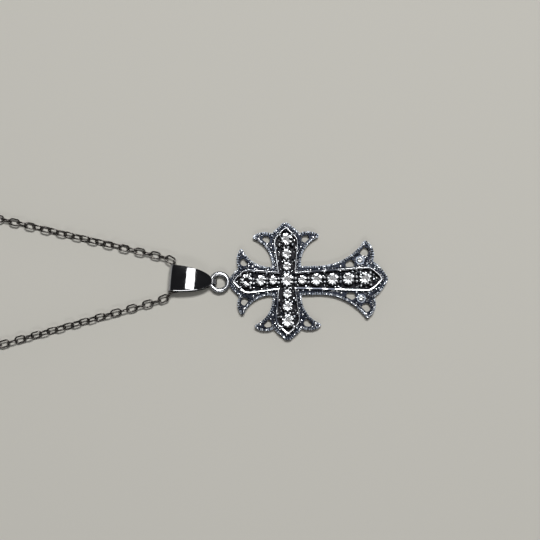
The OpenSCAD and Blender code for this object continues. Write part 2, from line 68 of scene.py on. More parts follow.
def add_camera():
    """Camera above the cross, leaned to the viewer's left; the bail lies on the frame's left side."""
    flat_up = Vector((math.cos(PHOTO_TURN), -math.sin(PHOTO_TURN), 0))
    back = Vector((0, 0, math.cos(CAMERA_TILT))) - flat_up * math.sin(CAMERA_TILT)
    up = Vector((0, 0, math.sin(CAMERA_TILT))) + flat_up * math.cos(CAMERA_TILT)
    right = up.cross(back)
    data = bpy.data.cameras.new("camera")
    data.lens = data.sensor_width * CAMERA_DISTANCE / (PIXEL * PHOTO_PIXELS)
    data.clip_start = NEAREST * MM
    camera = bpy.data.objects.new("camera", data)
    bpy.context.scene.collection.objects.link(camera)
    turn = Matrix((right, up, back)).transposed().to_4x4()
    camera.matrix_world = Matrix.Translation((VIEW_CENTRE + back * CAMERA_DISTANCE) * MM) @ turn
    bpy.context.scene.camera = camera


add_camera()


# Sizes of the solids
ARM_W = 6.9  # width of an arm's bar
TIP_R = 1.4  # round of an arm's tip
LOBE_R = 9.0  # bulged side from the tip to the notch before the flare
FLARE_TIP_R = 0.45
WAIST_BITE = 0.03  # how far the hollow sides cut into the bar
BAND_W = 1.55  # border from the bar's edge to the bed's edge
PLATE_Z = 1.1
RIM_W = 0.45
RIM_Z = 1.3
BED_Z = 0.75
BED_R = 2.88  # round end of the bed
BED_POINT = 3.85  # from the middle of that round end to the bed's point
BED_BACK = 1.3  # from the bed's point to the arm's tip
BED_SIDE_R = 2 * BED_R  # sides of the bed's pointed end
BED_SHOULDER = math.radians(40)  # where they leave the round end
PIERCE_BAND = 0.8  # metal between a pierced gap and the arm's edge
TIP_GAP_BAND = 0.85  # and between the bed and the gap in a flare
RAIL_GAP_BAND = 0.35  # and between the bed and the gap beside the rail


class Arm:
    """Sizes of one arm. It lies along u here, with its half width along v."""

    def __init__(self, reach, flare, sweep_r, notch, fan_r, tip_gap, rail_gap, bead, rail_bead, stones):
        self.reach = reach
        self.flare_tip = np.array(flare)
        self.notch = np.array(notch)
        self.sweep_r = sweep_r
        self.fan_r = fan_r
        self.tip_gap = tip_gap
        self.rail_gap = rail_gap
        self.bead = bead
        self.rail_bead = rail_bead
        self.stones = stones
        sweep_v = ARM_W / 2 - WAIST_BITE + sweep_r
        sweep_u = flare[0] - math.sqrt(sweep_r ** 2 - (sweep_v - flare[1]) ** 2)
        self.sweep_c = np.array((sweep_u, sweep_v))
        self.fan_c = circle_through(self.notch, self.flare_tip, fan_r)
        self.lobe_c = circle_through(np.array((reach, 0.0)), self.notch, LOBE_R)
        self.round_u = reach - BED_BACK - BED_POINT
        shoulder = np.array((self.round_u + BED_R * math.cos(BED_SHOULDER), BED_R * math.sin(BED_SHOULDER)))
        self.bed_side_c = circle_through(np.array((self.round_u + BED_POINT, 0.0)), shoulder, BED_SIDE_R)
        self.taper = (BED_R - (ARM_W / 2 - BAND_W)) / self.round_u


def circle_through(first, second, radius):
    """Middle of a circle through two points.

    It lies to the left of their mean, by the root of the radius squared less half the way squared.
    """
    way = second - first
    length = math.hypot(*way)
    left = np.array((-way[1], way[0])) / length
    return (first + second) / 2 + left * math.sqrt(radius ** 2 - (length / 2) ** 2)


def crossing(centre_a, radius_a, centre_b, radius_b, near):
    """The point where two circles cross that lies nearer to the point near."""
    way = centre_b - centre_a
    gap = math.hypot(*way)
    along = (gap ** 2 + radius_a ** 2 - radius_b ** 2) / (2 * gap)
    out = math.sqrt(max(radius_a ** 2 - along ** 2, 0))
    side = np.array((-way[1], way[0])) / gap
    middle = centre_a + way * along / gap
    found = [middle + side * out, middle - side * out]
    return min(found, key=lambda point: math.hypot(*(point - near)))


def arc(centre, radius, start, end, count):
    """Points at equal turns on the circle's short way from start to end, the last one left out."""
    turn_a = math.atan2(*(start - centre)[::-1])
    turn_b = math.atan2(*(end - centre)[::-1])
    swing = (turn_b - turn_a + math.pi) % (2 * math.pi) - math.pi
    turns = turn_a + swing * np.arange(count) / count
    return centre + radius * np.stack((np.cos(turns), np.sin(turns)), 1)


def straight(start, end, count):
    """Points at equal steps from start to end, the last one left out."""
    return start + (end - start) * (np.arange(count) / count)[:, None]


# Places are along and across an arm. A gap is the middle and radius of a disc, cut off by the borders round
# it, and a stone is its distance from the cross's middle and its diameter
SHORT = Arm(reach=14.1, flare=(10.6, 8.3), sweep_r=7.0, notch=(11.4, 3.3), fan_r=4.4,
            tip_gap=((10.1, 4.75), 0.97), rail_gap=None, bead=(10.3, 6.55), rail_bead=(8.1, 3.55),
            stones=((3.317, 2.2), (6.283, 2.6), (9.75, 3.2)))
LONG = Arm(reach=24.1, flare=(18.85, 9.475), sweep_r=13.5, notch=(20.7, 4.3), fan_r=4.1,
           tip_gap=((18.7, 6.725), 1.1), rail_gap=((15.2, 3.8), 1.1), bead=(18.6, 8.325),
           rail_bead=(12.9, 3.2),
           stones=((3.62, 2.2), (7.065, 2.95), (10.885, 2.95), (14.705, 2.95), (18.65, 3.2)))
FOOT_TURN = 270
ARMS = [(0, SHORT), (90, SHORT), (180, SHORT), (FOOT_TURN, LONG)]  # right, top, left and foot
CENTRE_D = 3.3  # the middle stone
FLARE_STONE = (17.6, 4.6)  # place of the stone in the foot's flare

# Steps along each stretch of the cross's edge and of the bed's edge
TIP_STEPS = 8
LOBE_STEPS = 24
FAN_STEPS = 32
FLARE_TIP_STEPS = 10
SWEEP_STEPS = 48
WAIST_STEPS = 16
BED_POINT_STEPS = 16
BED_ROUND_STEPS = 14
BED_SIDE_STEPS = 40

FROM_TIP = (-0.6, 1.0)  # about where the tip's round ends, from the tip itself
LOBE_UNDER = 1  # how far the lobe runs on under the fan
POINT_FROM = 1  # where the bed's pointed end takes over from its round end
OUTSIDE = 99.0  # further than any point of the cross


def turned(points, degrees):
    """Points turned about the cross's middle."""
    angle = math.radians(degrees)
    cos, sin = math.cos(angle), math.sin(angle)
    return points @ np.array(((cos, sin), (-sin, cos)))


def half_outline(arm, inset):
    """One side of an arm's edge, moved in by the inset.

    It runs from tip to waist over the tip's round, lobe, fan, flare tip, hollow side and waist.
    """
    tip_c = np.array((arm.reach - TIP_R, 0.0))
    tip = np.array((arm.reach - inset, 0.0))
    lobe = crossing(tip_c, TIP_R - inset, arm.lobe_c, LOBE_R - inset, tip + FROM_TIP)
    notch = crossing(arm.lobe_c, LOBE_R - inset, arm.fan_c, arm.fan_r - inset, arm.notch)
    blunt = max(FLARE_TIP_R, inset)
    round_c = crossing(arm.fan_c, arm.fan_r - blunt, arm.sweep_c, arm.sweep_r + blunt, arm.flare_tip)
    to_fan = (round_c - arm.fan_c) / math.hypot(*(round_c - arm.fan_c))
    to_sweep = (arm.sweep_c - round_c) / math.hypot(*(arm.sweep_c - round_c))
    on_fan = round_c + (blunt - inset) * to_fan
    on_sweep = round_c + (blunt - inset) * to_sweep
    side_v = ARM_W / 2 - inset
    low = math.sqrt((arm.sweep_r + inset) ** 2 - (arm.sweep_c[1] - side_v) ** 2)
    foot_of_sweep = np.array((max(arm.sweep_c[0] - low, side_v), side_v))
    waist = np.array((side_v, side_v))
    return np.concatenate((
        arc(tip_c, TIP_R - inset, tip, lobe, TIP_STEPS),
        arc(arm.lobe_c, LOBE_R - inset, lobe, notch, LOBE_STEPS),
        arc(arm.fan_c, arm.fan_r - inset, notch, on_fan, FAN_STEPS),
        arc(round_c, blunt - inset, on_fan, on_sweep, FLARE_TIP_STEPS),
        arc(arm.sweep_c, arm.sweep_r + inset, on_sweep, foot_of_sweep, SWEEP_STEPS),
        straight(foot_of_sweep, waist, WAIST_STEPS),
        waist[None]))


def half_bed(arm, neighbour, inset):
    """One side of the bed's edge, moved in by the inset: pointed end, round end and taper to the waist."""
    round_c = np.array((arm.round_u, 0.0))
    point_u = arm.bed_side_c[0] + math.sqrt((BED_SIDE_R - inset) ** 2 - arm.bed_side_c[1] ** 2)
    point = np.array((point_u, 0.0))
    shoulder = round_c + BED_R * np.array((math.cos(BED_SHOULDER), math.sin(BED_SHOULDER)))
    shoulder = crossing(arm.bed_side_c, BED_SIDE_R - inset, round_c, BED_R - inset, shoulder)
    top = round_c + (0.0, BED_R - inset)
    start = ARM_W / 2 - BAND_W - inset
    waist_u = start * (1 + neighbour.taper) / (1 - arm.taper * neighbour.taper)
    waist = np.array((waist_u, start + arm.taper * waist_u))
    return np.concatenate((
        arc(arm.bed_side_c, BED_SIDE_R - inset, point, shoulder, BED_POINT_STEPS),
        arc(round_c, BED_R - inset, shoulder, top, BED_ROUND_STEPS),
        straight(top, waist, BED_SIDE_STEPS),
        waist[None]))


def closed_path(half, inset):
    """Whole edge, turning left: each arm's right side from waist to tip, then its left side back again."""
    parts = []
    for index, (turn, arm) in enumerate(ARMS):
        before, after = ARMS[index - 1][1], ARMS[(index + 1) % len(ARMS)][1]
        if half is half_bed:
            right, left = half(arm, before, inset), half(arm, after, inset)
        else:
            right = left = half(arm, inset)
        right = right[::-1] * (1, -1)
        parts.append(turned(np.concatenate((right[:-1], left[:-1])), turn))
    return np.concatenate(parts)


def spaced(path, pitch):
    """Points at equal steps along a closed path, as near the pitch as a whole number of them allows."""
    ring = np.concatenate((path, path[:1]))
    steps = np.hypot(*np.diff(ring, axis=0).T)
    way = np.concatenate(((0,), np.cumsum(steps)))
    count = round(way[-1] / pitch)
    at = way[-1] * np.arange(count) / count
    return np.stack((np.interp(at, way, ring[:, 0]), np.interp(at, way, ring[:, 1])), 1)


def disc_depth(u, v, centre, radius):
    """Depth inside a circle: radius less the distance to its middle."""
    return radius - np.hypot(u - centre[0], v - centre[1])


def arm_depth(arm, u, v):
    """How deep a point lies in an arm: the bar or fan less the hollow side, or else the lobe or the tip."""
    v = np.abs(v)
    bar = np.minimum(ARM_W / 2 - v, arm.notch[0] - u)
    bar = np.where(u > -ARM_W / 2, bar, -OUTSIDE)
    fan = np.minimum(disc_depth(u, v, arm.fan_c, arm.fan_r), u - arm.sweep_c[0])
    hollow = np.minimum(np.maximum(bar, fan), -disc_depth(u, v, arm.sweep_c, arm.sweep_r))
    lobe = np.minimum(disc_depth(u, v, arm.lobe_c, LOBE_R), disc_depth(u, v, arm.lobe_c * (1, -1), LOBE_R))
    lobe = np.minimum(lobe, u - arm.notch[0] + LOBE_UNDER)
    return np.maximum(np.maximum(hollow, lobe), disc_depth(u, v, (arm.reach - TIP_R, 0), TIP_R))


def bed_depth(arm, u, v):
    """How deep a point lies in an arm's bed, less than nothing outside it."""
    v = np.abs(v)
    strip = np.minimum(ARM_W / 2 - BAND_W + arm.taper * u - v, arm.round_u - u)
    strip = np.where(u > 0, strip, -OUTSIDE)
    ends = disc_depth(u, v, (arm.round_u, 0), BED_R)
    side = arm.bed_side_c
    point = np.minimum(disc_depth(u, v, side, BED_SIDE_R), disc_depth(u, v, side * (1, -1), BED_SIDE_R))
    point = np.minimum(point, u - arm.round_u - POINT_FROM)
    return np.maximum(np.maximum(strip, ends), point)


def gap_clearance(arm, u, v):
    """Distance to an arm's pierced gaps, each a disc less the borders of hollow side, fan and bed."""
    v = np.abs(v)
    hollow = -disc_depth(u, v, arm.sweep_c, arm.sweep_r) - PIERCE_BAND
    fan = disc_depth(u, v, arm.fan_c, arm.fan_r) - PIERCE_BAND
    bed = -bed_depth(arm, u, v)
    disc = disc_depth(u, v, *arm.tip_gap)
    inside = np.minimum(np.minimum(disc, fan), np.minimum(hollow, bed - TIP_GAP_BAND))
    if arm.rail_gap:
        disc = disc_depth(u, v, *arm.rail_gap)
        inside = np.maximum(inside, np.minimum(np.minimum(disc, hollow), bed - RAIL_GAP_BAND))
    return -inside


def plan_fields(points):
    """Depth of each point in the plate and in the bed, and its distance to the gaps, over all arms."""
    edge = np.full(len(points), -OUTSIDE)
    bed = np.full(len(points), -OUTSIDE)
    gap = np.full(len(points), OUTSIDE)
    for turn, arm in ARMS:
        u, v = turned(points, -turn).T
        edge = np.maximum(edge, arm_depth(arm, u, v))
        bed = np.maximum(bed, bed_depth(arm, u, v))
        gap = np.minimum(gap, np.where(u > np.abs(v), gap_clearance(arm, u, v), OUTSIDE))
    return edge, bed, gap


# Meshes
def grid_faces(rows, columns, rows_closed, columns_closed):
    """Quads between neighbouring rows and columns of a grid, closed on itself where that is asked."""
    row = np.arange(rows if rows_closed else rows - 1)[:, None]
    column = np.arange(columns if columns_closed else columns - 1)[None, :]
    next_row, next_column = (row + 1) % rows, (column + 1) % columns
    quads = (row * columns + column, row * columns + next_column,
             next_row * columns + next_column, next_row * columns + column)
    return np.stack(quads, -1).reshape(-1, 4)


def repeated(faces, copies, point_count):
    """The same faces on each of many copies of a shape whose points follow one another."""
    shift = (np.arange(copies) * point_count)[:, None, None]
    return (faces[None] + shift).reshape(-1, faces.shape[1]).tolist()


def new_piece(name, points, faces, material, replaced=(), smooth=True):
    """One object of the part. Its place is in its mesh, and it rides on the part's only body."""
    mesh = bpy.data.meshes.new(name)
    mesh.from_pydata((np.asarray(points) * MM).tolist(), [], faces)
    if smooth:
        mesh.shade_smooth()
    mesh.materials.append(material)
    piece = bpy.data.objects.new(name, mesh)
    bpy.context.scene.collection.objects.link(piece)
    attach(piece, "root")
    if replaced:
        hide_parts(*replaced)
    return piece


BEAD_COLUMNS = 8
BEAD_RINGS = np.radians((-40, 0, 35, 65))  # latitudes of a bead's rings


def bead_shape():
    """Points and faces of a small sphere of radius 1: rings of latitude closed by a point at each pole."""
    turns = 2 * np.pi * np.arange(BEAD_COLUMNS) / BEAD_COLUMNS
    across = np.cos(BEAD_RINGS)[:, None]
    ring = np.stack((across * np.cos(turns), across * np.sin(turns),
                     np.sin(BEAD_RINGS)[:, None] + 0 * turns), -1).reshape(-1, 3)
    points = np.concatenate((ring, ((0, 0, -1), (0, 0, 1))))
    quads = grid_faces(len(BEAD_RINGS), BEAD_COLUMNS, False, True)
    column = np.arange(BEAD_COLUMNS)
    after = (column + 1) % BEAD_COLUMNS
    last = (len(BEAD_RINGS) - 1) * BEAD_COLUMNS
    low = np.stack((after, column, 0 * column + len(ring)), 1)
    high = np.stack((last + column, last + after, 0 * column + len(ring) + 1), 1)
    return points, quads, np.concatenate((low, high))


def beads(centres, radii, flat=1, slopes=0):
    """A round bead at each centre, each of its own radius, flattened and sheared upwards along its slopes."""
    shape, quads, triangles = bead_shape()
    shape = shape[None] * (1, 1, flat) + np.zeros((len(centres), 1, 1))
    shape[..., 2] += (shape[..., :2] * slopes).sum(-1)
    points = centres[:, None, :] + shape * radii[:, None, None]
    point_count = shape.shape[1]
    faces = repeated(quads, len(centres), point_count) + repeated(triangles, len(centres), point_count)
    return points.reshape(-1, 3), faces


# Finishes
NOISE_DETAIL = 4.0
NOISE_ROUGHNESS = 0.6
SMOOTHEST, ROUGHEST = 0.7, 1.4  # shares of a metal's roughness between which it varies
RELIEF_DEPTH = 0.2  # depth of the relief, as a share of the noise's size
# Sockets of a Mix node for each kind of value: its first and second value, and its result
MIX_SOCKETS = {"RGBA": (6, 7, 2), "FLOAT": (2, 3, 0)}
STONE_IOR = 1.6
FOIL_COLOUR = (0.72, 0.73, 0.74, 1)
FOIL_ROUGHNESS = 0.06


def node_of(tree, kind, **inputs):
    """A shader node with some of its inputs set."""
    made = tree.nodes.new(kind)
    for name, value in inputs.items():
        made.inputs[name.replace("_", " ")].default_value = value
    return made


def z_of(tree, source):
    """Socket that gives the z of a place or of a normal."""
    place = tree.nodes.new("ShaderNodeTexCoord")
    split = tree.nodes.new("ShaderNodeSeparateXYZ")
    tree.links.new(place.outputs[source], split.inputs["Vector"])
    return split.outputs["Z"]


def metal(name, colour, dark, roughness, grain, relief, spread=0.12):
    """Metal whose darker patches and fine relief follow noise on its own coordinates.

    The grain is the size of that noise. Where the noise lies the spread or more below its mean, the metal is
    dark, and as far above it the metal has its full colour.
    """
    material = bpy.data.materials.new(name)
    material.use_nodes = True
    tree = material.node_tree
    shader = tree.nodes["Principled BSDF"]
    shader.inputs["Metallic"].default_value = 1
    place = tree.nodes.new("ShaderNodeTexCoord")
    noise = node_of(tree, "ShaderNodeTexNoise", Scale=1 / (grain * MM), Detail=NOISE_DETAIL,
                    Roughness=NOISE_ROUGHNESS)
    tree.links.new(place.outputs["Object"], noise.inputs["Vector"])
    tone = tree.nodes.new("ShaderNodeValToRGB")
    tone.color_ramp.elements[0].position = 0.5 - spread
    tone.color_ramp.elements[0].color = (*dark, 1)
    tone.color_ramp.elements[1].position = 0.5 + spread
    tone.color_ramp.elements[1].color = (*colour, 1)
    tree.links.new(noise.outputs["Fac"], tone.inputs["Fac"])
    tree.links.new(tone.outputs["Color"], shader.inputs["Base Color"])
    rough = node_of(tree, "ShaderNodeMapRange", To_Min=roughness * SMOOTHEST, To_Max=roughness * ROUGHEST)
    tree.links.new(noise.outputs["Fac"], rough.inputs["Value"])
    tree.links.new(rough.outputs["Result"], shader.inputs["Roughness"])
    bump = node_of(tree, "ShaderNodeBump", Strength=relief, Distance=grain * MM * RELIEF_DEPTH)
    tree.links.new(noise.outputs["Fac"], bump.inputs["Height"])
    tree.links.new(bump.outputs["Normal"], shader.inputs["Normal"])
    return material


def wear_and_painted_shade(material, source, low, high, low_colour, low_roughness):
    """Darker metal of its own roughness where the source is below low. It fades out by high.

    The source is the wear, for worn plating; the z of a place, for a tone set by height alone; or the z of a
    normal, for painted shade where the surface tilts away from straight up.
    """
    tree = material.node_tree
    shader = tree.nodes["Principled BSDF"]
    share = node_of(tree, "ShaderNodeMapRange", From_Min=low, From_Max=high)
    if source == "wear":
        wear = tree.nodes.new("ShaderNodeAttribute")
        wear.attribute_name = source
        tree.links.new(wear.outputs["Fac"], share.inputs["Value"])
    else:
        tree.links.new(z_of(tree, source), share.inputs["Value"])
    for socket, kind, value in (("Base Color", "RGBA", (*low_colour, 1)),
                                ("Roughness", "FLOAT", low_roughness)):
        first, second, result = MIX_SOCKETS[kind]
        mix = tree.nodes.new("ShaderNodeMix")
        mix.data_type = kind
        above = shader.inputs[socket].links[0].from_socket
        mix.inputs[first].default_value = value
        tree.links.new(share.outputs["Result"], mix.inputs[0])
        tree.links.new(above, mix.inputs[second])
        tree.links.new(mix.outputs[result], shader.inputs[socket])


# The casting is nearly black below the rim's height, on the plate inside the rim, and darker still on the
# bed's floor: a tone set by height alone
CAST = metal("cast_plated", colour=(0.24, 0.265, 0.3), dark=(0.08, 0.09, 0.115),
             roughness=0.3, grain=0.5, relief=0.4)
wear_and_painted_shade(CAST, "Object", low=1.12 * MM, high=1.3 * MM, low_colour=(0.012, 0.014, 0.02), low_roughness=0.35)
wear_and_painted_shade(CAST, "Object", low=0.8 * MM, high=1.0 * MM, low_colour=(0.016, 0.016, 0.018), low_roughness=0.5)
GRAIN = metal("grain_plated", colour=(1.0, 1.0, 1.0), dark=(0.6, 0.64, 0.7),
              roughness=0.22, grain=0.6, relief=0.15, spread=0.08)
wear_and_painted_shade(GRAIN, "wear", low=0.36, high=0.46, low_colour=(0.03, 0.034, 0.045), low_roughness=0.4)
# Painted shade: grain facets that tilt well away from straight up are dark, so only those facing the overhead
# lights stay bright
wear_and_painted_shade(GRAIN, "Normal", low=0.65, high=0.85, low_colour=(0.04, 0.044, 0.06), low_roughness=0.3)
BRIGHT = metal("bright_rail", colour=(0.95, 0.96, 0.98), dark=(0.6, 0.63, 0.68),
               roughness=0.25, grain=1.6, relief=0.05, spread=0.1)
# Painted shade: darker where the surface tilts away from straight up, so beads, prong heads and cusps are
# bright only on top
wear_and_painted_shade(BRIGHT, "Normal", low=0.5, high=0.8, low_colour=(0.12, 0.13, 0.16), low_roughness=0.2)
RAIL = metal("rail_crest", colour=(0.7, 0.71, 0.73), dark=(0.4, 0.42, 0.45),
             roughness=0.18, grain=1.6, relief=0.05, spread=0.1)
# Painted shade: the cap is dark wherever it tilts far from flat, so only its crest and bevel stay bright
wear_and_painted_shade(RAIL, "Normal", low=0.86, high=0.95, low_colour=(0.1, 0.105, 0.12), low_roughness=0.25)
wear_and_painted_shade(RAIL, "wear", low=0.4, high=0.6, low_colour=(0.06, 0.065, 0.08), low_roughness=0.35)
BAIL = metal("mirror_bail", colour=(0.5, 0.5, 0.51), dark=(0.42, 0.42, 0.43),
             roughness=0.05, grain=3.0, relief=0.01)
CHAIN = metal("chain_wire", colour=(0.14, 0.13, 0.123), dark=(0.055, 0.049, 0.046),
              roughness=0.22, grain=0.5, relief=0.15)
CLASP = metal("clasp_plated", colour=(0.6, 0.58, 0.55), dark=(0.45, 0.43, 0.41),
              roughness=0.16, grain=1.5, relief=0.05)
RING = metal("ring_plated", colour=(0.85, 0.86, 0.88), dark=(0.6, 0.62, 0.66),
             roughness=0.2, grain=1.2, relief=0.015)
# Painted shade: the ring and the bail's tongue are dark on their sides and bright only where they face up
wear_and_painted_shade(RING, "Normal", low=0.5, high=0.85, low_colour=(0.05, 0.052, 0.055), low_roughness=0.3)


def clear_stone(name, girdle_z):
    """Clear stone, foiled behind: its facets are mirrors below its widest line, at girdle_z, glass above."""
    material = bpy.data.materials.new(name)
    material.use_nodes = True
    tree = material.node_tree
    glass = tree.nodes["Principled BSDF"]
    glass.inputs["Roughness"].default_value = 0.0
    glass.inputs["IOR"].default_value = STONE_IOR
    glass.inputs["Transmission Weight"].default_value = 1
    glass.inputs["Base Color"].default_value = (1, 1, 1, 1)
    foil = node_of(tree, "ShaderNodeBsdfPrincipled", Metallic=1.0, Roughness=FOIL_ROUGHNESS)
    foil.inputs["Base Color"].default_value = FOIL_COLOUR
    height = z_of(tree, "Object")
    above = tree.nodes.new("ShaderNodeMath")
    above.operation = "GREATER_THAN"
    above.inputs[1].default_value = girdle_z * MM
    tree.links.new(height, above.inputs[0])
    mix = tree.nodes.new("ShaderNodeMixShader")
    tree.links.new(above.outputs["Value"], mix.inputs[0])
    tree.links.new(foil.outputs["BSDF"], mix.inputs[1])
    tree.links.new(glass.outputs["BSDF"], mix.inputs[2])
    tree.links.new(mix.outputs["Shader"], tree.nodes["Material Output"].inputs["Surface"])
    return material


ROW_GIRDLE_Z = 1.75
FLARE_GIRDLE_Z = 1.35
ROW_STONE = clear_stone("clear_stone", ROW_GIRDLE_Z)
FLARE_STONE_FINISH = clear_stone("clear_flare_stone", FLARE_GIRDLE_Z)


# Bail
BAIL_T = 0.4
BAIL_W = 6.25
BAIL_ROUND = 2.2  # power of the front's rounded outline
BAIL_CROWN = 0.1  # how far the widest edges lie below the middle
BAIL_REACH = 12.2  # from the ring's middle to the top of the fold
FOLD_R = 1.65
TONGUE_W = 1.2
TONGUE_Y = 1.745  # middle of the tongue's hook, from the ring's middle
TONGUE_R = 1.125
BAIL_BULGE = 0.4
BAIL_SWING = math.radians(5.6)  # lean of the bail to the viewer's right
EYE_Y = 16.05  # middle of the cross's ring
BAIL_EDGE_R = 0.09
BAIL_FLAT_END = 0.015
BAIL_SHARP = math.radians(15)  # facets that meet at more than this are shaded apart
FOLD_STEPS = 24
FRONT_STEPS = 60
TONGUE_STEPS = 20
BACK_STEPS = 50
BAND_COLUMNS = 13
EDGE_TURNS = np.radians((0, 45, 90))  # corners of its cut edges


def half_turn(y, radius, start, count):
    """Half a circle on the band's middle line, from the angle start. Its outside touches the table."""
    turn = np.radians(np.linspace(start, start + 180, count, endpoint=False))
    inner = radius - BAIL_T / 2
    return np.stack((y + inner * np.cos(turn), radius + inner * np.sin(turn)), 1)


def bail_loop():
    """Middle line of the band seen from the side, a closed loop: fold, bulged front, tongue, straight back.

    The front falls evenly from the fold to the tongue, raised by four bulges times its share of the way and
    times what is left of it.
    """
    half = BAIL_T / 2
    fold_y = BAIL_REACH - FOLD_R
    share = np.sin(np.pi / 2 * np.linspace(0, 1, FRONT_STEPS, endpoint=False))
    bulge = 4 * BAIL_BULGE * share * (1 - share)
    front_z = 2 * FOLD_R + 2 * (TONGUE_R - FOLD_R) * share + bulge - half
    back_share = 1 - np.cos(np.pi / 2 * np.linspace(0, 1, BACK_STEPS, endpoint=False))
    return np.concatenate((
        half_turn(fold_y, FOLD_R, -90, FOLD_STEPS),
        np.stack((fold_y + (TONGUE_Y - fold_y) * share, front_z), 1),
        half_turn(TONGUE_Y, TONGUE_R, 90, TONGUE_STEPS),
        np.stack((TONGUE_Y + (fold_y - TONGUE_Y) * back_share, np.full(BACK_STEPS, half)), 1)))


def add_bail():
    """Band carried along its loop. Across it, it is a crowned rectangle with cut edges.

    The share of the way down and the share of the largest width, each to the power BAIL_ROUND, add up to 1,
    but the band is nowhere narrower than its tongue. The crown falls with the square of the distance from
    the middle.
    """
    loop = bail_loop()
    way = np.roll(loop, -1, 0) - np.roll(loop, 1, 0)
    way = np.roll(way, 1, 0) + 2 * way + np.roll(way, -1, 0)
    way /= np.hypot(*way.T)[:, None]
    out = np.stack((way[:, 1], -way[:, 0]), 1)
    share = np.clip((BAIL_REACH - loop[:, 0]) / (BAIL_REACH - TONGUE_Y), 0, 1)
    wide = np.maximum(BAIL_W / 2 * (1 - share ** BAIL_ROUND) ** (1 / BAIL_ROUND), TONGUE_W / 2)
    corner = BAIL_EDGE_R * np.stack((np.cos(EDGE_TURNS), np.sin(EDGE_TURNS)), 1)
    quarter = corner + (-BAIL_EDGE_R, BAIL_T / 2 - BAIL_EDGE_R)
    flat = np.linspace(1, -1, BAND_COLUMNS)
    middle = np.column_stack((-flat * (BAIL_EDGE_R + BAIL_FLAT_END), np.full(BAND_COLUMNS, BAIL_T / 2)))
    top = np.concatenate((quarter, middle, (quarter * (-1, 1))[::-1]))
    side = np.concatenate((top, (top * (1, -1))[::-1]))
    reach = np.concatenate((np.ones(len(quarter)), flat, -np.ones(len(quarter))))
    reach = np.concatenate((reach, reach[::-1]))
    x = reach[None] * wide[:, None] + side[None, :, 0]
    raised = side[None, :, 1] - BAIL_CROWN * (x / (BAIL_W / 2)) ** 2
    y = loop[:, :1] + out[:, :1] * raised
    z = loop[:, 1:] + out[:, 1:] * raised
    cos, sin = math.cos(BAIL_SWING), math.sin(BAIL_SWING)
    points = np.stack((x * cos + y * sin, EYE_Y - x * sin + y * cos, z), -1)
    faces = grid_faces(len(loop), len(side), True, True)
    piece = new_piece("bail_band", points.reshape(-1, 3), faces.tolist(), BAIL, ["bail"])
    piece.data.set_sharp_from_angle(angle=BAIL_SHARP)
    piece.data.materials.append(RING)
    on_tongue = np.repeat(loop[:, 0] < TONGUE_Y, len(side))
    piece.data.polygons.foreach_set("material_index", on_tongue.astype(np.int32))


# Chain
LINK_COUNT = 219
LEFT_LINKS = 109
LINK_PITCH = 1.95
LINK_L = 2.82
LINK_W = 1.9
WIRE = 0.36
PLATING = 0.02  # thickness on the wire
CLASP_SPAN = 13.35  # part of the loop taken by the clasp and its rings
TURN_R = {1: 4.3, -1: 6.3}  # radius of the turn inside the bail, on the viewer's right and left
TURN_SIDE = 0.88  # from the inside of the fold to where those two bends meet, sideways
TURN_GAP = 1.25  # and down to the links' edge there
CHAIN_SLIP = 0.975  # length that the chain has slipped through the bail, to the left
BAIL_PLAY = 0.15  # height of the links over the bail's back
STRAND_ANGLE = math.radians(14.5)
LEAN_MAX = math.radians(45)
LEAN_WAVE = 45  # length of one wave of the links' lean
LINK_STEPS = 16
WIRE_SIDES = 6


def chain_route():
    """Sizes of the chain's route: the bends in the bail, the straight strands and the neck side's arc.

    It gives each bend's length, where each strand starts, where the bends meet, where the strands' lines
    cross, where the strands end, the neck side's radius and middle, and how far the chain's middle lies off.
    """
    turn = math.pi / 2 - STRAND_ANGLE
    half_tan = math.tan(turn / 2)
    mean = sum(TURN_R.values()) / 2
    bend = {side: radius * turn for side, radius in TURN_R.items()}
    leave = {side: half_tan * (mean / math.sin(STRAND_ANGLE) + radius) for side, radius in TURN_R.items()}
    inner = BAIL_REACH - BAIL_T
    turn_at = np.array((inner * math.sin(BAIL_SWING) + TURN_SIDE,
                        EYE_Y + inner * math.cos(BAIL_SWING) - TURN_GAP - LINK_W / 2))
    lines_at = turn_at - half_tan * np.array((TURN_R[-1] - mean, mean / math.tan(STRAND_ANGLE)))
    loop = LINK_COUNT * LINK_PITCH + CLASP_SPAN
    strand_to = ((loop - sum(bend.values()) + sum(leave.values()))
                 / (2 + math.tan(STRAND_ANGLE) * (math.pi + 2 * STRAND_ANGLE)))
    neck_r = strand_to * math.tan(STRAND_ANGLE)
    neck_c = lines_at + (0, strand_to / math.cos(STRAND_ANGLE))
    middle_off = CHAIN_SLIP + (TURN_R[-1] - mean) * (turn - half_tan)
    return bend, leave, turn_at, lines_at, strand_to, neck_r, neck_c, middle_off


TURN_ARC, STRAND_FROM, TURN_AT, LINES_AT, STRAND_TO, NECK_R, NECK_C, MIDDLE_OFF = chain_route()


def lean(s):
    """Lean of a link about the chain: a squared sine along the strands, none in the bail or at the clasp."""
    start = sum(TURN_ARC.values()) / 2
    way = np.abs(s) - start
    end = np.clip((LINK_COUNT * LINK_PITCH / 2 - np.abs(s)) / (2 * LINK_PITCH), 0, 1)
    return np.where(way < 0, 0, LEAN_MAX * np.sin(np.pi * way / LEAN_WAVE) ** 2 * end)


